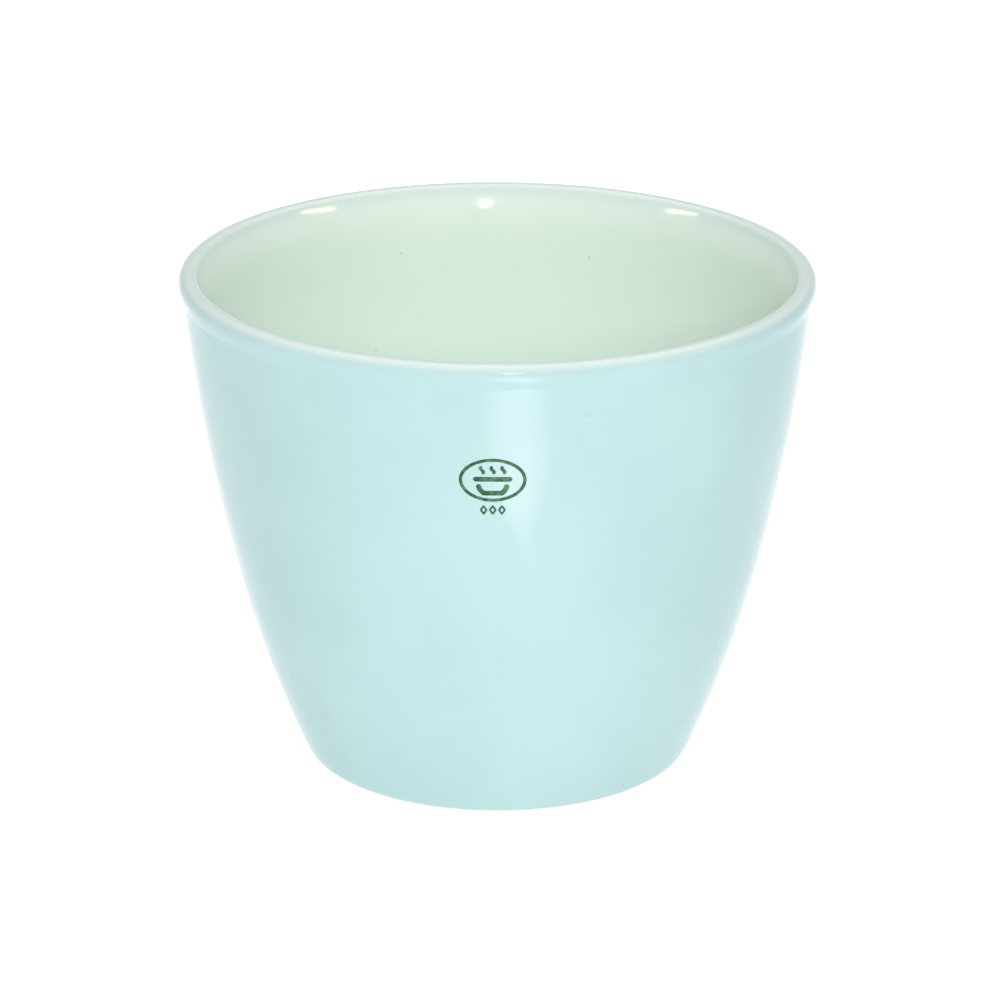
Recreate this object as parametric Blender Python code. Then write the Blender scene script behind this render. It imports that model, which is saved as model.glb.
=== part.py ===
"""Porcelain crucible of the medium form, glazed all over except its foot: one fired piece, open at the top.

Metres, +Z up. The origin is the middle of the circle on which the foot stands.
"""

import math

import bmesh
import bpy

# Driving dimensions.
RIM_DIAMETER = 0.050  # over the swollen lip
HEIGHT = 0.806 * RIM_DIAMETER

# The wall, outside and inside: two long arcs that meet in one tangent.
UPPER_ARC_RADIUS = 0.158
LOWER_ARC_RADIUS = 0.092
ARC_JOIN_HEIGHT = 0.0155

# The outside, from the neck, where the lip begins to swell, down to the foot's round corner.
NECK = (0.0246, HEIGHT - 0.0022)  # radius and height
OUTER_LEAN = math.radians(6.0)  # of the wall from the upright, at the neck
FOOT_CORNER_RADIUS = 0.0018

# The inside. It leans a little more, so that the wall thickens downwards, and it flares at the mouth.
INNER_LEAN = math.radians(6.5)
MOUTH_LEAN = math.radians(22.0)
MOUTH_FLARE_RADIUS = 0.012
FLOOR_THICKNESS = 0.0024
FLOOR_CORNER_RADIUS = 0.0055

# The lip, with a narrow level land on which a lid rests.
LIP_OUTER_ROUND = 0.0007
LIP_INNER_ROUND = 0.0005
LAND_WIDTH = 0.0003

# The underside: a ring to stand on, round a shallow recess.
RECESS_RADIUS = 0.0112
RECESS_DEPTH = 0.0004
RECESS_STEP = 0.0008  # the width of the slope between the ring and the recess

SEGMENTS = 72  # round the axis
PALE_BLUE_GREEN = (0.49, 0.70, 0.68, 1.0)


def arc(centre, radius, start, end, steps):
    """Points (r, z) of a circle's arc, from the angle start to the angle end."""
    points = []
    for i in range(steps + 1):
        angle = start + (end - start) * i / steps
        points.append((centre[0] + radius * math.cos(angle), centre[1] + radius * math.sin(angle)))
    return points


def bowl_curve(neck, lean, floor_height, corner_radius, steps):
    """A bowl's curve from the edge of its floor up to its neck: a corner and two wall arcs, all tangent.

    steps holds the number of steps in the corner, the lower arc and the upper arc.
    """
    upper = (neck[0] - UPPER_ARC_RADIUS * math.cos(lean), neck[1] + UPPER_ARC_RADIUS * math.sin(lean))
    join_lean = math.asin((upper[1] - ARC_JOIN_HEIGHT) / UPPER_ARC_RADIUS)
    shift = UPPER_ARC_RADIUS - LOWER_ARC_RADIUS
    lower = (upper[0] + shift * math.cos(join_lean), upper[1] - shift * math.sin(join_lean))
    corner_height = floor_height + corner_radius
    drop = lower[1] - corner_height
    reach = math.sqrt((LOWER_ARC_RADIUS - corner_radius) ** 2 - drop**2)
    corner = (lower[0] + reach, corner_height)
    corner_lean = math.atan2(drop, reach)
    return (
        arc(corner, corner_radius, -math.pi / 2, -corner_lean, steps[0])
        + arc(lower, LOWER_ARC_RADIUS, -corner_lean, -join_lean, steps[1])[1:]
        + arc(upper, UPPER_ARC_RADIUS, -join_lean, -lean, steps[2])[1:]
    )


def swell(neck, top, lean, steps):
    """The lip's outer side: from the wall's lean at the neck, smoothly out to upright at the widest point."""
    rise = top[1] - neck[1]
    points = []
    for i in range(1, steps):
        t = i / steps
        blend = t * t * (3 - 2 * t)
        run = t * (1 - t) ** 2 * rise * math.tan(lean)
        points.append((neck[0] + (top[0] - neck[0]) * blend + run, neck[1] + rise * t))
    return points


def crucible_profile():
    """The half section, from the middle of the underside out, up, over the lip and down to the floor's middle."""
    lip_radius = RIM_DIAMETER / 2
    land_outer = lip_radius - LIP_OUTER_ROUND
    land_inner = land_outer - LAND_WIDTH
    underside = [(0.0, RECESS_DEPTH), (RECESS_RADIUS, RECESS_DEPTH), (RECESS_RADIUS + RECESS_STEP, 0.0)]
    outer_wall = bowl_curve(NECK, OUTER_LEAN, 0.0, FOOT_CORNER_RADIUS, (4, 4, 6))
    outer_round = arc((land_outer, HEIGHT - LIP_OUTER_ROUND), LIP_OUTER_ROUND, 0.0, math.pi / 2, 4)
    inner_round = arc(
        (land_inner, HEIGHT - LIP_INNER_ROUND), LIP_INNER_ROUND, math.pi / 2, math.pi - MOUTH_LEAN, 3
    )
    mouth_edge = inner_round[-1]
    flare_centre = (
        mouth_edge[0] + MOUTH_FLARE_RADIUS * math.cos(MOUTH_LEAN),
        mouth_edge[1] - MOUTH_FLARE_RADIUS * math.sin(MOUTH_LEAN),
    )
    flare = arc(flare_centre, MOUTH_FLARE_RADIUS, math.pi - MOUTH_LEAN, math.pi - INNER_LEAN, 4)
    inner_wall = bowl_curve(flare[-1], INNER_LEAN, FLOOR_THICKNESS, FLOOR_CORNER_RADIUS, (6, 4, 5))
    return (
        underside
        + outer_wall
        + swell(NECK, outer_round[0], OUTER_LEAN, 4)
        + outer_round
        + inner_round
        + flare[1:]
        + inner_wall[-2::-1]
        + [(0.0, FLOOR_THICKNESS)]
    )


def turn(name, profile):
    """A closed body turned from its half section round the Z axis."""
    shape = bmesh.new()
    section = [shape.verts.new((r, 0.0, z)) for r, z in profile]
    edges = [shape.edges.new(pair) for pair in zip(section, section[1:])]
    bmesh.ops.spin(
        shape,
        geom=section + edges,
        cent=(0, 0, 0),
        axis=(0, 0, 1),
        angle=math.tau,
        steps=SEGMENTS,
        use_merge=True,
    )
    bmesh.ops.remove_doubles(shape, verts=shape.verts[:], dist=1e-6)
    bmesh.ops.recalc_face_normals(shape, faces=shape.faces[:])
    mesh = bpy.data.meshes.new(name)
    shape.to_mesh(mesh)
    shape.free()
    mesh.shade_smooth()
    mesh.set_sharp_from_angle(angle=math.radians(35))
    body = bpy.data.objects.new(name, mesh)
    bpy.context.scene.collection.objects.link(body)
    return body


def glazed_porcelain():
    material = bpy.data.materials.new("glazed_porcelain")
    material.use_nodes = True
    shader = material.node_tree.nodes["Principled BSDF"]
    shader.inputs["Base Color"].default_value = PALE_BLUE_GREEN
    shader.inputs["Roughness"].default_value = 0.15
    shader.inputs["Metallic"].default_value = 0.0
    material.diffuse_color = PALE_BLUE_GREEN
    return material


for old in list(bpy.data.objects):
    bpy.data.objects.remove(old, do_unlink=True)

crucible = turn("crucible_body", crucible_profile())
crucible.data.materials.append(glazed_porcelain())
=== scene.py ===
"""A porcelain crucible: the fired body, its glaze and its small green mark, in the frame's metres."""

import math

import bmesh
import bpy
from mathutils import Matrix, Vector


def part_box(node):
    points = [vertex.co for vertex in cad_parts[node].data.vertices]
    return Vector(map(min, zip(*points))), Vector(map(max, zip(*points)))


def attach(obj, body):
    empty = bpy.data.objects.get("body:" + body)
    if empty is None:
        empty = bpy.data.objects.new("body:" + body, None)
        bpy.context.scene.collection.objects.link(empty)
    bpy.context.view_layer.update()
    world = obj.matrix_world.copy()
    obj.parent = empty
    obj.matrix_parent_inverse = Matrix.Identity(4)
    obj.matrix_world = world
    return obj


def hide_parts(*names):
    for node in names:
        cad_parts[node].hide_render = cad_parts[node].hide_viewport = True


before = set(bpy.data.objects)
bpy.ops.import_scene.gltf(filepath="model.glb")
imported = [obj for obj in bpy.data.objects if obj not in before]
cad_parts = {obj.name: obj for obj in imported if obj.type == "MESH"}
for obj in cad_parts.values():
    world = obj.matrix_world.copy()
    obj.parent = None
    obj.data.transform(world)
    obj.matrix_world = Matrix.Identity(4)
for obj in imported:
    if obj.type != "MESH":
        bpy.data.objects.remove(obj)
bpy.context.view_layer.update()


# --------------------------------------------------------------------------------------------------
# The porcelain body. One cup of hard porcelain, spun in a plaster mould against a template and fired.
# It is bare only underneath, on the ring that it stands on and in the shallow recess inside that ring.
# --------------------------------------------------------------------------------------------------

low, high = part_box("crucible_body")
RIM_RADIUS = (high[0] - low[0]) / 2
HEIGHT = high[2] - low[2]

UPPER_ARC_RADIUS = 0.158  # of the wall's section, outside and inside
LOWER_ARC_RADIUS = 0.092
ARC_JOIN_HEIGHT = 0.0155
NECK = (RIM_RADIUS - 0.0004, HEIGHT - 0.0022)  # radius and height at which the lip begins to swell
OUTER_LEAN = math.radians(6.0)
FOOT_CORNER_RADIUS = 0.0018
INNER_LEAN = math.radians(6.5)
MOUTH_LEAN = math.radians(22.0)
MOUTH_FLARE_RADIUS = 0.012
FLOOR_THICKNESS = 0.0024
FLOOR_CORNER_RADIUS = 0.0055
LIP_OUTER_ROUND = 0.0007
LIP_INNER_ROUND = 0.0005
LAND_WIDTH = 0.0003
RECESS_RADIUS = 0.0112
RECESS_DEPTH = 0.0004
RECESS_STEP = 0.0008
GLAZE_THICKNESS = 0.00012
GLAZE_LINE = 0.00055  # how far above the bench the glaze stops, where the foot was wiped clean
STEPS_ROUND = 216
OUTSIDE_STEPS = (14, 16, 22)  # along the foot's corner, the lower arc and the upper arc
INSIDE_STEPS = (14, 16, 20)
SWELLING_STEPS = 12
OUTER_ROUND_STEPS = 10
INNER_ROUND_STEPS = 8
FLARE_STEPS = 14
FLOOR_STEPS = 10
RECESS_STEPS = (8, 4)  # across its roof, and down its slope
SAME_POINT = 1e-6  # points nearer than this are one
OUT_OF_ROUND = 0.00007  # the kiln's doing, at the rim
OVAL_TURN = 0.7  # of the oval that it leaves, in radians
RIM_TILT = 0.00006


def arc(centre, radius, start, end, steps):
    """Points (r, z) along a circle's arc."""
    turns = [start + (end - start) * i / steps for i in range(steps + 1)]
    return [(centre[0] + radius * math.cos(a), centre[1] + radius * math.sin(a)) for a in turns]


def wall(neck, lean, floor_height, corner_radius, steps):
    """The wall's section from a floor's edge up to the neck: a corner and two long arcs, all tangent."""
    upper = (neck[0] - UPPER_ARC_RADIUS * math.cos(lean), neck[1] + UPPER_ARC_RADIUS * math.sin(lean))
    join_lean = math.asin((upper[1] - ARC_JOIN_HEIGHT) / UPPER_ARC_RADIUS)
    shift = UPPER_ARC_RADIUS - LOWER_ARC_RADIUS
    lower = (upper[0] + shift * math.cos(join_lean), upper[1] - shift * math.sin(join_lean))
    drop = lower[1] - floor_height - corner_radius
    reach = math.sqrt((LOWER_ARC_RADIUS - corner_radius) ** 2 - drop**2)
    corner_lean = math.atan2(drop, reach)
    corner = (lower[0] + reach, floor_height + corner_radius)
    return (
        arc(corner, corner_radius, -math.pi / 2, -corner_lean, steps[0])
        + arc(lower, LOWER_ARC_RADIUS, -corner_lean, -join_lean, steps[1])[1:]
        + arc(upper, UPPER_ARC_RADIUS, -join_lean, -lean, steps[2])[1:]
    )


def swelling(neck, widest, lean, steps):
    """The lip's outer side, from the wall's lean at the neck out to upright at its widest point."""
    rise = widest[1] - neck[1]
    points = []
    for i in range(1, steps):
        t = i / steps
        out = (widest[0] - neck[0]) * t * t * (3 - 2 * t) + t * (1 - t) ** 2 * rise * math.tan(lean)
        points.append((neck[0] + out, neck[1] + rise * t))
    return points


def straight(start, end, steps):
    """Points strictly between two points."""
    shares = [i / steps for i in range(1, steps)]
    return [(start[0] + (end[0] - start[0]) * t, start[1] + (end[1] - start[1]) * t) for t in shares]


def outer_and_inner_skin():
    """The section's skin from the foot up the outside, over the lip and down to the floor's middle."""
    land_outer = RIM_RADIUS - LIP_OUTER_ROUND
    land_inner = land_outer - LAND_WIDTH
    outside = wall(NECK, OUTER_LEAN, 0.0, FOOT_CORNER_RADIUS, OUTSIDE_STEPS)
    outer_round = arc(
        (land_outer, HEIGHT - LIP_OUTER_ROUND), LIP_OUTER_ROUND, 0.0, math.pi / 2, OUTER_ROUND_STEPS
    )
    inner_round = arc(
        (land_inner, HEIGHT - LIP_INNER_ROUND),
        LIP_INNER_ROUND,
        math.pi / 2,
        math.pi - MOUTH_LEAN,
        INNER_ROUND_STEPS,
    )
    mouth = inner_round[-1]
    flare_centre = (
        mouth[0] + MOUTH_FLARE_RADIUS * math.cos(MOUTH_LEAN),
        mouth[1] - MOUTH_FLARE_RADIUS * math.sin(MOUTH_LEAN),
    )
    flare = arc(
        flare_centre, MOUTH_FLARE_RADIUS, math.pi - MOUTH_LEAN, math.pi - INNER_LEAN, FLARE_STEPS
    )
    inside = wall(flare[-1], INNER_LEAN, FLOOR_THICKNESS, FLOOR_CORNER_RADIUS, INSIDE_STEPS)
    centre = (0.0, FLOOR_THICKNESS)
    return (
        outside
        + swelling(NECK, outer_round[0], OUTER_LEAN, SWELLING_STEPS)
        + outer_round
        + inner_round
        + flare[1:]
        + inside[-2::-1]
        + straight(inside[0], centre, FLOOR_STEPS)
        + [centre]
    )


def sunk(skin, depths):
    """A skin's points, each moved into the porcelain by its depth."""
    points = []
    for i, (r, z) in enumerate(skin):
        before, after = skin[max(i - 1, 0)], skin[min(i + 1, len(skin) - 1)]
        run = (after[0] - before[0], after[1] - before[1])
        length = math.hypot(*run)
        points.append((r - depths[i] * run[1] / length, z + depths[i] * run[0] / length))
    points[-1] = (0.0, points[-1][1])
    return points


class Value:
    """A number on its way through a node tree. Arithmetic with it lays Math nodes."""

    def __init__(self, bench, socket):
        self.bench = bench
        self.socket = socket

    def other(self, name):
        """Another output of the node that this one comes from."""
        return Value(self.bench, self.socket.node.outputs[name])

    def __add__(self, term):
        return self.bench.maths("ADD", self, term)

    def __sub__(self, term):
        return self.bench.maths("SUBTRACT", self, term)

    def __rsub__(self, term):
        return self.bench.maths("SUBTRACT", term, self)

    def __mul__(self, term):
        return self.bench.maths("MULTIPLY", self, term)

    def __truediv__(self, term):
        return self.bench.maths("DIVIDE", self, term)

    __radd__ = __add__
    __rmul__ = __mul__


class Bench:
    """A node tree being laid out, for a shape or for a finish."""

    def __init__(self, tree):
        self.tree = tree

    def lay(self, kind, settings=None, sockets=None, output=0):
        """Adds a node, sets it up, fills or links its sockets, and gives one of its outputs."""
        node = self.tree.nodes.new(kind)
        for name, setting in (settings or {}).items():
            setattr(node, name, setting)
        for key, value in (sockets or {}).items():
            if isinstance(value, Value):
                self.tree.links.new(value.socket, node.inputs[key])
            else:
                node.inputs[key].default_value = value
        return Value(self, node.outputs[output]) if node.outputs else None

    def maths(self, operation, *terms):
        """One Math node on numbers."""
        return self.lay("ShaderNodeMath", {"operation": operation}, dict(enumerate(terms)))


def geometry_bench(name, sizes):
    """A Geometry Nodes tree with its named sizes, and its group input's outputs by name."""
    tree = bpy.data.node_groups.new(name, "GeometryNodeTree")
    tree.interface.new_socket("Start", in_out="INPUT", socket_type="NodeSocketGeometry")
    for size, kind in sizes.items():
        tree.interface.new_socket(size, in_out="INPUT", socket_type=kind)
    tree.interface.new_socket("Made", in_out="OUTPUT", socket_type="NodeSocketGeometry")
    bench = Bench(tree)
    return bench, bench.lay("NodeGroupInput")


def close_tree(bench, shape, material):
    """Ends a tree as one plain mesh in its finish."""
    whole = bench.lay("GeometryNodeRealizeInstances", sockets={"Geometry": shape})
    painted = bench.lay("GeometryNodeSetMaterial", sockets={"Geometry": whole, "Material": material})
    bench.lay("NodeGroupOutput", sockets={0: painted})


def made_by(tree, name, start_mesh, sizes):
    """Runs a tree on a starting mesh and keeps the result as a plain mesh object at the origin."""
    start = bpy.data.objects.new(name + "_start", start_mesh)
    bpy.context.scene.collection.objects.link(start)
    modifier = start.modifiers.new("made", "NODES")
    modifier.node_group = tree
    for item in tree.interface.items_tree:
        if item.in_out == "INPUT" and item.name in sizes:
            modifier[item.identifier] = sizes[item.name]
    graph = bpy.context.evaluated_depsgraph_get()
    mesh = bpy.data.meshes.new_from_object(
        start.evaluated_get(graph), preserve_all_data_layers=True, depsgraph=graph
    )
    mesh.name = name
    start.modifiers.remove(modifier)
    bpy.data.objects.remove(start, do_unlink=True)
    piece = bpy.data.objects.new(name, mesh)
    bpy.context.scene.collection.objects.link(piece)
    return piece


def turning_tree():
    """Sweeps a half section round the Z axis, with the slight warp that the kiln leaves at the rim."""
    bench, section = geometry_bench(
        "turned on the wheel",
        {
            "Steps round": "NodeSocketInt",
            "Rim radius": "NodeSocketFloat",
            "Rim height": "NodeSocketFloat",
            "Out of round": "NodeSocketFloat",
            "Rim tilt": "NodeSocketFloat",
            "Finish": "NodeSocketMaterial",
        },
    )
    points = bench.lay("GeometryNodeAttributeDomainSize", sockets={"Geometry": section})
    steps = section.other("Steps round")
    grid = bench.lay(
        "GeometryNodeMeshGrid",
        sockets={"Size X": 1.0, "Size Y": 1.0, "Vertices X": points, "Vertices Y": steps + 1},
    )
    across = bench.lay("ShaderNodeSeparateXYZ", sockets={0: bench.lay("GeometryNodeInputPosition")})
    place = bench.maths("ROUND", (across + 0.5) * (points - 1))
    angle = (0.5 - across.other("Y")) * math.tau
    on_section = bench.lay(
        "GeometryNodeSampleIndex",
        {"data_type": "FLOAT_VECTOR"},
        {"Geometry": section, "Value": bench.lay("GeometryNodeInputPosition"), "Index": place},
    )
    radius = bench.lay("ShaderNodeSeparateXYZ", sockets={0: on_section})
    height = radius.other("Z")
    upwards = height / section.other("Rim height")
    oval = bench.maths("COSINE", angle * 2 + OVAL_TURN)
    radius = radius * (1 + section.other("Out of round") / section.other("Rim radius") * upwards * oval)
    cosine = bench.maths("COSINE", angle)
    sine = bench.maths("SINE", angle)
    height = height - section.other("Rim tilt") * upwards * upwards * cosine
    spot = bench.lay("ShaderNodeCombineXYZ", sockets={0: radius * cosine, 1: radius * sine, 2: height})
    on_skin = bench.lay("GeometryNodeInputNamedAttribute", {"data_type": "FLOAT"}, {"Name": "past_lip"})
    past_lip = bench.lay(
        "GeometryNodeSampleIndex",
        {"data_type": "FLOAT"},
        {"Geometry": section, "Value": on_skin, "Index": place},
    )
    marked = bench.lay(
        "GeometryNodeStoreNamedAttribute",
        {"data_type": "FLOAT", "domain": "POINT"},
        {"Geometry": grid, "Name": "past_lip", "Value": past_lip},
    )
    swept = bench.lay("GeometryNodeSetPosition", sockets={"Geometry": marked, "Position": spot})
    joined = bench.lay(
        "GeometryNodeMergeByDistance", sockets={"Geometry": swept, "Distance": SAME_POINT}
    )
    smooth = bench.lay("GeometryNodeSetShadeSmooth", sockets={"Geometry": joined})
    close_tree(bench, smooth, section.other("Finish"))
    return bench.tree


def section_mesh(name, points, past_lip):
    """A half section as a line of points, each with its distance past the top of the lip."""
    mesh = bpy.data.meshes.new(name)
    mesh.from_pydata([(r, 0.0, z) for r, z in points], [(i, i + 1) for i in range(len(points) - 1)], [])
    mesh.attributes.new("past_lip", "FLOAT", "POINT").data.foreach_set("value", past_lip)
    return mesh


def distances_past_lip(points):
    """How far each point lies along the section past the lip's top: below 0 outside, above inside."""
    along = [0.0]
    for a, b in zip(points, points[1:]):
        along.append(along[-1] + math.dist(a, b))
    top = max(range(len(points)), key=lambda i: points[i][1])
    return [distance - along[top] for distance in along]


skin = outer_and_inner_skin()
skin_past_lip = distances_past_lip(skin)
turning = turning_tree()
turned_sizes = {
    "Steps round": STEPS_ROUND,
    "Rim radius": RIM_RADIUS,
    "Rim height": HEIGHT,
    "Out of round": OUT_OF_ROUND,
    "Rim tilt": RIM_TILT,
}


def finish(name, **constants):
    """A new material, its bench and its Principled shader, given the values that stay the same."""
    material = bpy.data.materials.new(name)
    material.use_nodes = True
    bench = Bench(material.node_tree)
    shader = material.node_tree.nodes["Principled BSDF"]
    for socket, value in constants.items():
        shader.inputs[socket.replace("_", " ")].default_value = value
    return material, bench, shader


def feed(shader, socket, value):
    """Lets a value that changes over the surface drive one of a shader's sockets."""
    shader.id_data.links.new(value.socket, shader.inputs[socket])


def noise(bench, where, scale, detail=2.0, roughness=0.5, distortion=0.0):
    """A soft random field, 0 to 1, with features about 1 / scale metres across."""
    return bench.lay(
        "ShaderNodeTexNoise",
        sockets={
            "Vector": where,
            "Scale": scale,
            "Detail": detail,
            "Roughness": roughness,
            "Distortion": distortion,
        },
    )


def eased(bench, value, start, end):
    """0 where the value is at start, 1 at end, and smooth between."""
    return bench.lay(
        "ShaderNodeMapRange",
        {"interpolation_type": "SMOOTHSTEP"},
        {"Value": value, "From Min": start, "From Max": end},
    )


def blend(bench, first, second, share):
    """One colour over another."""
    return bench.lay("ShaderNodeMix", {"data_type": "RGBA"}, {0: share, 6: first, 7: second}, output=2)


def bumps(bench, height, reach):
    """A surface that rises by reach metres where the height is 1."""
    return bench.lay("ShaderNodeBump", sockets={"Strength": 1.0, "Distance": reach, "Height": height})


CLAY_SHADE = (0.80, 0.77, 0.70, 1.0)
CLAY_LIGHT = (0.88, 0.87, 0.82, 1.0)
GRAIN_SHADE = (0.62, 0.58, 0.51, 1.0)
BENCH_GREY = (0.42, 0.41, 0.39, 1.0)


def bare_porcelain():
    """Unglazed hard porcelain: warm white, close-grained, a little grey where it stands."""
    material, bench, shader = finish("bare_porcelain", Specular_IOR_Level=0.35)
    where = bench.lay("ShaderNodeTexCoord", output="Object")
    spot = bench.lay("ShaderNodeSeparateXYZ", sockets={0: where})
    grain = noise(bench, where, 5200.0, detail=3.0, roughness=0.65)
    cloud = noise(bench, where, 160.0)
    clay = blend(bench, CLAY_SHADE, CLAY_LIGHT, cloud)
    clay = blend(bench, clay, GRAIN_SHADE, eased(bench, grain, 0.62, 0.78) * 0.5)
    on_ring = 1 - eased(bench, spot.other("Z"), 0.00002, 0.00012)
    smears = noise(bench, where, 900.0, detail=4.0, roughness=0.7, distortion=0.6)
    scuffs = eased(bench, smears, 0.45, 0.7)
    clay = blend(bench, clay, BENCH_GREY, on_ring * scuffs * 0.55)
    feed(shader, "Base Color", clay)
    feed(shader, "Roughness", 0.52 + grain * 0.2)
    relief = grain + noise(bench, where, 1500.0) * 0.6
    feed(shader, "Normal", bumps(bench, relief, reach=0.000012))
    return material


underside = (
    [(0.0, RECESS_DEPTH)]
    + straight((0.0, RECESS_DEPTH), (RECESS_RADIUS, RECESS_DEPTH), RECESS_STEPS[0])
    + [(RECESS_RADIUS, RECESS_DEPTH)]
    + straight((RECESS_RADIUS, RECESS_DEPTH), (RECESS_RADIUS + RECESS_STEP, 0.0), RECESS_STEPS[1])
    + [(RECESS_RADIUS + RECESS_STEP, 0.0)]
)
body_depths = []
for i, (r, z) in enumerate(skin):
    share = min(z / GLAZE_LINE, 1.0) if r > RECESS_RADIUS else 1.0
    body_depths.append(GLAZE_THICKNESS * share * share * (3 - 2 * share))
body_skin = sunk(skin, body_depths)
body_section = section_mesh(
    "body_section", underside + body_skin, [skin_past_lip[0]] * len(underside) + skin_past_lip
)
porcelain_body = made_by(
    turning, "porcelain_body", body_section, {**turned_sizes, "Finish": bare_porcelain()}
)
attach(porcelain_body, "root")
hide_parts("crucible_body")


# --------------------------------------------------------------------------------------------------
# The glaze. A thin, slightly milky feldspar glaze, fired on over the outside, the lip and the inside.
# It ends in a soft rounded edge on the foot's corner, where the foot was wiped before the firing.
# --------------------------------------------------------------------------------------------------

GLAZE_BITE = 0.00002  # how far the coat's back reaches into the porcelain, so that no gap opens
GLAZE_EDGE_STEPS = 8
BLUE_GREEN = (0.446, 0.628, 0.622, 1.0)  # outside, and where it clouds over
BLUE_GREEN_CLOUD = (0.476, 0.660, 0.654, 1.0)
THIN_OVER_LIP = (0.68, 0.775, 0.735, 1.0)
# Painted light: the inside gets a warmer, paler cream-green than the outside, standing in for the warm
# light that falls into the cup; the glaze is the same.
CREAM_GREEN_PAINTED_LIGHT = (0.772, 0.884, 0.806, 1.0)  # inside, and where it clouds over
CREAM_GREEN_PAINTED_LIGHT_CLOUD = (0.792, 0.894, 0.816, 1.0)
IRON_SPECK = (0.30, 0.27, 0.20, 1.0)
TURNING_RINGS = (60.0, 60.0, 1500.0)  # how often they come, across and up the wall


def glaze_section():
    """The coat's closed section: up its back from the floor's middle, round its edge, along its face."""
    first = next(i for i, (r, z) in enumerate(skin) if z >= GLAZE_LINE)
    face = skin[first:]
    back = sunk(face, [GLAZE_THICKNESS + GLAZE_BITE] * len(face))
    edge_face, edge_back = face[0], back[0]
    middle = ((edge_face[0] + edge_back[0]) / 2, (edge_face[1] + edge_back[1]) / 2)
    half = math.dist(edge_face, edge_back) / 2
    start = math.atan2(edge_back[1] - middle[1], edge_back[0] - middle[0])
    edge = arc(middle, half, start, start + math.pi, GLAZE_EDGE_STEPS)[1:-1]
    points = back[::-1] + edge + face
    past = skin_past_lip[first:]
    return section_mesh("glaze_section", points, past[::-1] + [past[0]] * len(edge) + past)


def porcelain_glaze():
    """Bluish green-white outside; inside, painted light: a paler, warmer cream-green for the warm light
    in the cup. Paler where it runs thin over the lip, and glossy.
    """
    material, bench, shader = finish("porcelain_glaze", Specular_IOR_Level=0.25)
    where = bench.lay("ShaderNodeTexCoord", output="Object")
    past_lip = bench.lay("ShaderNodeAttribute", {"attribute_name": "past_lip"}, output="Fac")
    cloud = eased(bench, noise(bench, where, 70.0, detail=3.0), 0.34, 0.66)
    outside = blend(bench, BLUE_GREEN, BLUE_GREEN_CLOUD, cloud)
    inside = blend(bench, CREAM_GREEN_PAINTED_LIGHT, CREAM_GREEN_PAINTED_LIGHT_CLOUD, cloud)
    colour = blend(bench, outside, THIN_OVER_LIP, eased(bench, past_lip, -0.0011, -0.0001))
    # Past the lip the colour turns to the inside's painted-light cream-green, a stand-in for the warm
    # light in the cup.
    colour = blend(bench, colour, inside, eased(bench, past_lip, 0.0004, 0.0022))
    specks = bench.lay("ShaderNodeTexVoronoi", sockets={"Vector": where, "Scale": 900.0})
    rare = eased(bench, specks.other("Color"), 0.88, 0.9)
    dots = 1 - eased(bench, specks, 0.04, 0.1)
    colour = blend(bench, colour, IRON_SPECK, dots * rare * 0.5)
    feed(shader, "Base Color", colour)
    skin_marks = noise(bench, where, 420.0, detail=4.0, roughness=0.6)
    feed(shader, "Roughness", 0.07 + skin_marks * 0.07)
    stretched = bench.lay("ShaderNodeMapping", sockets={"Vector": where, "Scale": TURNING_RINGS})
    rings = noise(bench, stretched, 1.0, detail=1.0)
    relief = rings * 0.35 + noise(bench, where, 700.0, detail=1.0) * 0.5
    feed(shader, "Normal", bumps(bench, relief, reach=0.000012))
    return material


glaze_coat = made_by(
    turning, "glaze_coat", glaze_section(), {**turned_sizes, "Finish": porcelain_glaze()}
)
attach(glaze_coat, "root")
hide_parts("crucible_body")


# --------------------------------------------------------------------------------------------------
# The mark. A small stamp in green ceramic colour, printed on the wall under the lip and fired on.
# An oval ring holds a little covered dish with heat rising from it, over three small diamonds.
# --------------------------------------------------------------------------------------------------

MARK_CENTRE = (-0.00035, 0.0310)  # along the wall from its front, and height
MARK_FILM = 0.00002  # how far the colour stands out of the glaze
MARK_ROOT = 0.00002  # how far the colour's back sits in the glaze
WALL_RADIUS_AT_MARK = 0.0237
RING_HALF_WIDTH = 0.00255
RING_HALF_HEIGHT = 0.0018
LINE = 0.00026
BOLD = 0.0004
POINT_GAP = 0.00008
OVAL_STEPS = 96
# Across a stroke of colour: shares of its half width, and of its film (above 0) or its root (below 0).
STROKE_SECTION = (
    (-1.0, 0.0),
    (-0.72, 1.0),
    (0.0, 1.0),
    (0.72, 1.0),
    (1.0, 0.0),
    (1.0, -1.0),
    (-1.0, -1.0),
)
BLUNT_END = 0.12  # of a stroke's half width
COVER = ((-0.00148, 0.00008), (0.00148, 0.00008))
DISH_SIDE = ((-0.00114, -0.00034), (-0.00094, -0.00082), (-0.0007, -0.00108))
HEAT_PLACES = (-0.0008, 0.0, 0.0008)
HEAT_SWAY = 0.00011
HEAT_FOOT = 0.00052
HEAT_RISE = 0.00064
HEAT_STEPS = 16
DIAMOND_PLACES = (-0.0007, 0.0, 0.0007)
DIAMOND_DROP = 0.0007  # below the ring
DIAMOND_SIZE = (0.00022, 0.00034)  # half its width and height
DIAMOND_LINE = LINE * 0.6


def spaced(path, closed):
    """A path's points at about equal small steps."""
    ends = path + path[:1] if closed else path
    points = []
    for a, b in zip(ends, ends[1:]):
        steps = max(1, round(math.dist(a, b) / POINT_GAP))
        run = (b[0] - a[0], b[1] - a[1])
        points += [(a[0] + run[0] * i / steps, a[1] + run[1] * i / steps) for i in range(steps)]
    return points if closed else points + [path[-1]]


def oval(half_width, half_height, steps=OVAL_STEPS):
    """Points round an oval, or round a diamond where there are four steps."""
    turns = [math.tau * i / steps for i in range(steps)]
    return [(half_width * math.cos(a), half_height * math.sin(a)) for a in turns]


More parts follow.
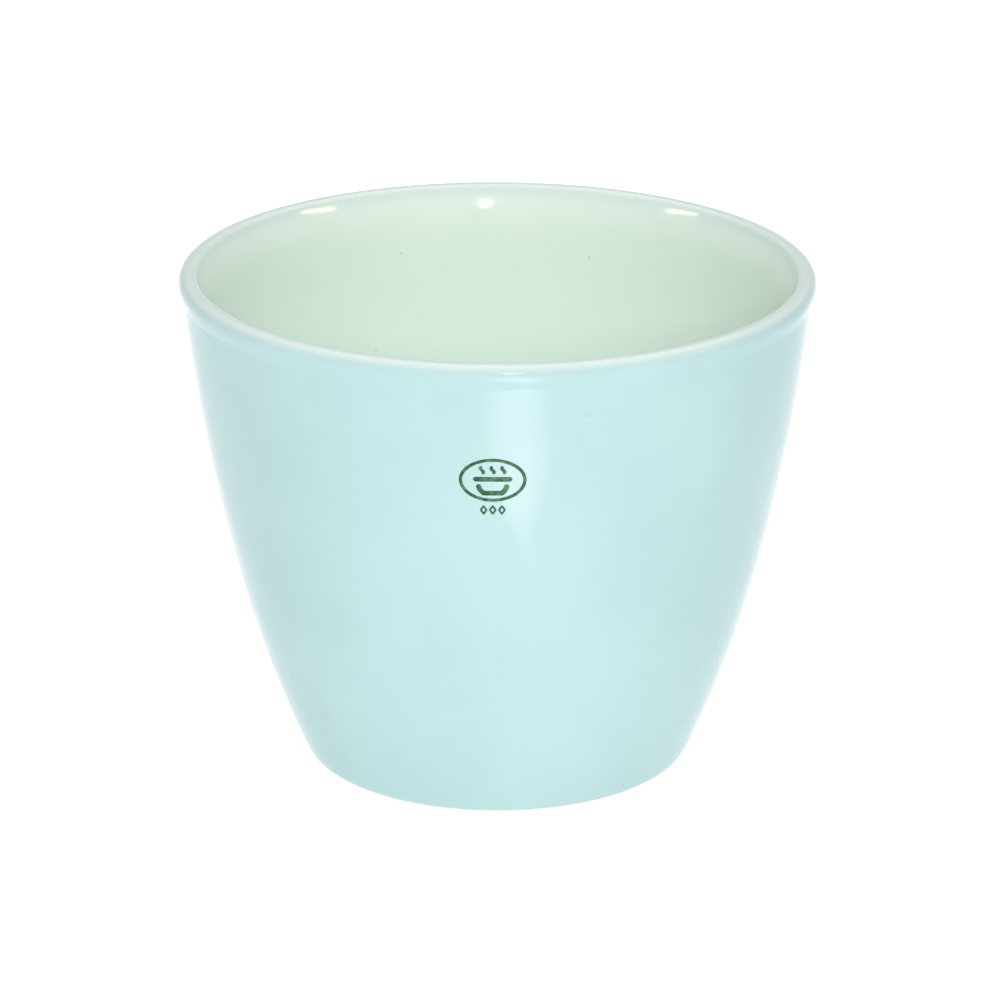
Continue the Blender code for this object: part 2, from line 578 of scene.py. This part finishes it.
def stroke(drawing, path, width, closed=False):
    """Adds one stroke of colour to a drawing in the plane y = 0: a low, rounded ribbon with a back."""
    points = spaced(path, closed)
    count = len(points)
    half = width / 2
    along = [0.0]
    for a, b in zip(points, points[1:]):
        along.append(along[-1] + math.dist(a, b))
    rows = []
    for i, (x, z) in enumerate(points):
        before = points[i - 1] if closed or i else points[i]
        after = points[(i + 1) % count] if closed or i < count - 1 else points[i]
        run = (after[0] - before[0], after[1] - before[1])
        length = math.hypot(*run)
        side = (-run[1] / length, run[0] / length)
        reach = half
        if not closed:
            to_end = min(along[i], along[-1] - along[i])
            if to_end < half:
                reach = max(math.sqrt(half**2 - (half - to_end) ** 2), half * BLUNT_END)
        row = []
        for share, lift in STROKE_SECTION:
            height = MARK_FILM * lift if lift > 0 else MARK_ROOT * lift
            place = (x + side[0] * reach * share, -height, z + side[1] * reach * share)
            row.append(drawing.verts.new(place))
        rows.append(row)
    pairs = list(zip(rows, rows[1:])) + ([(rows[-1], rows[0])] if closed else [])
    for first, second in pairs:
        for j in range(len(STROKE_SECTION)):
            k = (j + 1) % len(STROKE_SECTION)
            drawing.faces.new((first[j], second[j], second[k], first[k]))
    if not closed:
        drawing.faces.new(rows[0])
        drawing.faces.new(rows[-1][::-1])


def mark_drawing():
    """The stamp, drawn flat and upright with its middle at the origin."""
    drawing = bmesh.new()
    stroke(drawing, oval(RING_HALF_WIDTH - LINE / 2, RING_HALF_HEIGHT - LINE / 2), LINE, closed=True)
    stroke(drawing, list(COVER), BOLD)
    stroke(drawing, list(DISH_SIDE) + [(-x, z) for x, z in reversed(DISH_SIDE)], BOLD)
    rise = [i / HEAT_STEPS for i in range(HEAT_STEPS + 1)]
    for middle in HEAT_PLACES:
        wave = [(middle + HEAT_SWAY * math.sin(math.tau * t), HEAT_FOOT + HEAT_RISE * t) for t in rise]
        stroke(drawing, wave, LINE)
    row = -RING_HALF_HEIGHT - DIAMOND_DROP
    for middle in DIAMOND_PLACES:
        diamond = [(middle + x, row + z) for x, z in oval(*DIAMOND_SIZE, steps=4)]
        stroke(drawing, diamond, DIAMOND_LINE, closed=True)
    bmesh.ops.recalc_face_normals(drawing, faces=drawing.faces[:])
    mesh = bpy.data.meshes.new("mark_drawing")
    drawing.to_mesh(mesh)
    drawing.free()
    return mesh


def wrapping_tree():
    """Lays a flat drawing on the wall: its width round the axis, its height up, its relief outwards."""
    bench, drawing = geometry_bench(
        "laid on the wall",
        {
            "Wall": "NodeSocketObject",
            "Wall radius": "NodeSocketFloat",
            "Across": "NodeSocketFloat",
            "Height": "NodeSocketFloat",
            "Finish": "NodeSocketMaterial",
        },
    )
    spot = bench.lay("ShaderNodeSeparateXYZ", sockets={0: bench.lay("GeometryNodeInputPosition")})
    angle = (spot + drawing.other("Across")) / drawing.other("Wall radius")
    sine = bench.maths("SINE", angle)
    cosine = bench.maths("COSINE", angle)
    far = 2 * drawing.other("Wall radius")
    height = spot.other("Z") + drawing.other("Height")
    outside = bench.lay("ShaderNodeCombineXYZ", sockets={0: sine * far, 1: cosine * far * -1, 2: height})
    inwards = bench.lay("ShaderNodeCombineXYZ", sockets={0: sine * -1, 1: cosine, 2: 0.0})
    wall_shape = bench.lay(
        "GeometryNodeObjectInfo", sockets={"Object": drawing.other("Wall")}, output="Geometry"
    )
    met = bench.lay(
        "GeometryNodeRaycast",
        sockets={
            "Target Geometry": wall_shape,
            "Source Position": outside,
            "Ray Direction": inwards,
            "Ray Length": far,
        },
        output="Hit Position",
    )
    relief = bench.lay(
        "ShaderNodeVectorMath",
        {"operation": "SCALE"},
        {0: met.other("Hit Normal"), "Scale": spot.other("Y") * -1},
    )
    place = bench.lay("ShaderNodeVectorMath", {"operation": "ADD"}, {0: met, 1: relief})
    laid = bench.lay("GeometryNodeSetPosition", sockets={"Geometry": drawing, "Position": place})
    smooth = bench.lay("GeometryNodeSetShadeSmooth", sockets={"Geometry": laid})
    close_tree(bench, smooth, drawing.other("Finish"))
    return bench.tree


DEEP_GREEN = (0.006, 0.07, 0.015, 1.0)
WORN_GREEN = (0.055, 0.23, 0.095, 1.0)
GLAZE_SHOWING = (0.36, 0.58, 0.48, 1.0)


def green_enamel():
    """Fired-on green ceramic colour, printed a little unevenly, from deep to worn green."""
    material, bench, shader = finish("green_enamel", Specular_IOR_Level=0.35)
    where = bench.lay("ShaderNodeTexCoord", output="Object")
    patches = noise(bench, where, 1700.0, detail=3.0, roughness=0.6)
    thin = eased(bench, patches, 0.42, 0.72)
    colour = blend(bench, DEEP_GREEN, WORN_GREEN, thin)
    pits = eased(bench, noise(bench, where, 9000.0, detail=1.0), 0.64, 0.76)
    colour = blend(bench, colour, GLAZE_SHOWING, pits * 0.5)
    feed(shader, "Base Color", colour)
    feed(shader, "Roughness", 0.26 + thin * 0.16)
    feed(shader, "Normal", bumps(bench, patches + pits * 0.5, reach=0.000006))
    return material


printed_mark = made_by(
    wrapping_tree(),
    "printed_mark",
    mark_drawing(),
    {
        "Wall": glaze_coat,
        "Wall radius": WALL_RADIUS_AT_MARK,
        "Across": MARK_CENTRE[0],
        "Height": MARK_CENTRE[1],
        "Finish": green_enamel(),
    },
)
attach(printed_mark, "root")


# --------------------------------------------------------------------------------------------------
# The room. A white laminate table in a pale room, with wide soft lights above, before and behind, and a
# small flash by the camera, a forearm's length away. Two warm lamps and three pale cards lying on the
# table only show as glints and a sheen on the gloss: they throw no light on what they stand by.
# --------------------------------------------------------------------------------------------------

TABLE_SPAN = 6.0
TABLE_WHITE = (0.52, 0.545, 0.55, 1.0)
TABLE_GLOW = (0.96, 0.98, 1.0, 1.0)
TABLE_GLOW_STRENGTH = 0.68
CAMERA_DISTANCE = 0.400
CAMERA_ELEVATION = math.radians(19.75)
AIM = (0.0002, 0.0, 0.02095)
CAMERA_LENS = 180.2
WALL_LIGHT = 0.72  # of the room, low down all round
CEILING_LIGHT = 0.20
WALL_TOP = (0.04, 0.2)  # sines of the elevations between which the one passes into the other
WALL_WHITE = (1.0, 1.0, 1.0, 1.0)
HALFWAY_UP = (0.0, 0.0, 0.02)  # what the lights face
MOUTH = (0.0, 0.0, 0.039)
BACK_OF_MOUTH = (0.0, 0.023, 0.0385)
LAMP_GLOW = (0.15, 0.032)
LAMP_AMBER = (1.0, 0.80, 0.55)
LAMP_CREAM = (1.0, 0.84, 0.64)
CARD_PLACE = (0.0075, -0.076)
CARD_HEIGHTS = (0.002, 0.0028, 0.0036)  # three white cards, one a little above the other
CARD_SIZES = ((0.030, 0.044), (0.020, 0.052), (0.010, 0.062))
CARD_TINT = (1.0, 0.76, 0.90)
CARD_RADIANCE = 1.85
SENSOR_WIDTH = 36.0
NEAREST_SEEN = 0.01


def table_top():
    """A white laminate top, lit a little from within so that it reads as pure white."""
    top = bmesh.new()
    bmesh.ops.create_grid(top, x_segments=1, y_segments=1, size=TABLE_SPAN / 2)
    mesh = bpy.data.meshes.new("table_top")
    top.to_mesh(mesh)
    top.free()
    table = bpy.data.objects.new("table_top", mesh)
    bpy.context.scene.collection.objects.link(table)
    material, _, _ = finish(
        "white_laminate",
        Base_Color=TABLE_WHITE,
        Roughness=0.55,
        Specular_IOR_Level=0.2,
        Emission_Color=TABLE_GLOW,
        Emission_Strength=TABLE_GLOW_STRENGTH,
    )
    mesh.materials.append(material)


def soft_light(name, place, target, size, radiance, colour=(1.0, 1.0, 1.0), shape="RECTANGLE"):
    """A flat light that faces the target and gives the same brightness whatever its size."""
    light = bpy.data.lights.new(name, "AREA")
    light.shape = shape
    light.size, light.size_y = size
    area = size[0] * size[1] * (math.pi / 4 if shape == "ELLIPSE" else 1.0)
    light.energy = radiance * math.pi * area
    light.color = colour
    lamp = bpy.data.objects.new(name, light)
    lamp.location = place
    away = [p - t for p, t in zip(place, target)]
    lamp.rotation_euler = (
        math.atan2(math.hypot(away[0], away[1]), away[2]),
        0.0,
        math.atan2(away[0], -away[1]),
    )
    lamp.visible_camera = False
    bpy.context.scene.collection.objects.link(lamp)
    return lamp


table_top()
camera = bpy.data.objects.new("camera", bpy.data.cameras.new("camera"))
camera.location = (
    AIM[0],
    AIM[1] - CAMERA_DISTANCE * math.cos(CAMERA_ELEVATION),
    AIM[2] + CAMERA_DISTANCE * math.sin(CAMERA_ELEVATION),
)
camera.rotation_euler = (math.pi / 2 - CAMERA_ELEVATION, 0.0, 0.0)
camera.data.lens = CAMERA_LENS
camera.data.sensor_width = SENSOR_WIDTH
camera.data.clip_start = NEAREST_SEEN
bpy.context.scene.collection.objects.link(camera)
bpy.context.scene.camera = camera

room = bpy.data.worlds.new("room")
room.use_nodes = True
room_bench = Bench(room.node_tree)
outwards = room_bench.lay("ShaderNodeTexCoord", output="Generated")
upwards = room_bench.lay("ShaderNodeSeparateXYZ", sockets={0: outwards}, output="Z")
wall_glow = 1 - eased(room_bench, upwards, *WALL_TOP)
walls = room.node_tree.nodes["Background"]
walls.inputs["Color"].default_value = WALL_WHITE
feed(walls, "Strength", CEILING_LIGHT + wall_glow * (WALL_LIGHT - CEILING_LIGHT))
bpy.context.scene.world = room
bpy.context.scene.view_settings.view_transform = "Standard"

soft_light("overhead", (0.0, 0.16, 0.60), (0.0, 0.16, 0.0), size=(0.80, 0.80), radiance=1.56)
key = soft_light("key", (0.02, -0.52, 0.42), HALFWAY_UP, size=(0.42, 0.32), radiance=3.2)
fill = soft_light("fill", (0.0, -0.60, 0.10), HALFWAY_UP, size=(0.60, 0.18), radiance=1.3)
back = soft_light("back", (0.05, 0.62, 0.30), HALFWAY_UP, size=(0.50, 0.30), radiance=1.5)
for unmirrored in (key, fill, back):
    unmirrored.visible_glossy = False
by_the_camera = (0.030, camera.location[1], camera.location[2])
soft_light("flash", by_the_camera, BACK_OF_MOUTH, size=(0.011, 0.044), radiance=212.0, shape="ELLIPSE")
glints = [
    soft_light("lamp_right", (0.54, -0.126, 0.213), MOUTH, LAMP_GLOW, radiance=24.0, colour=LAMP_AMBER),
    soft_light("lamp_left", (-0.547, -0.106, 0.208), MOUTH, LAMP_GLOW, radiance=21.0, colour=LAMP_CREAM),
]
for height, size in zip(CARD_HEIGHTS, CARD_SIZES):
    lying = (*CARD_PLACE, height)
    straight_above = (*CARD_PLACE, 1.0)
    card = soft_light("low_card", lying, straight_above, size, CARD_RADIANCE, CARD_TINT, "ELLIPSE")
    glints.append(card)
for glint in glints:
    glint.visible_diffuse = False
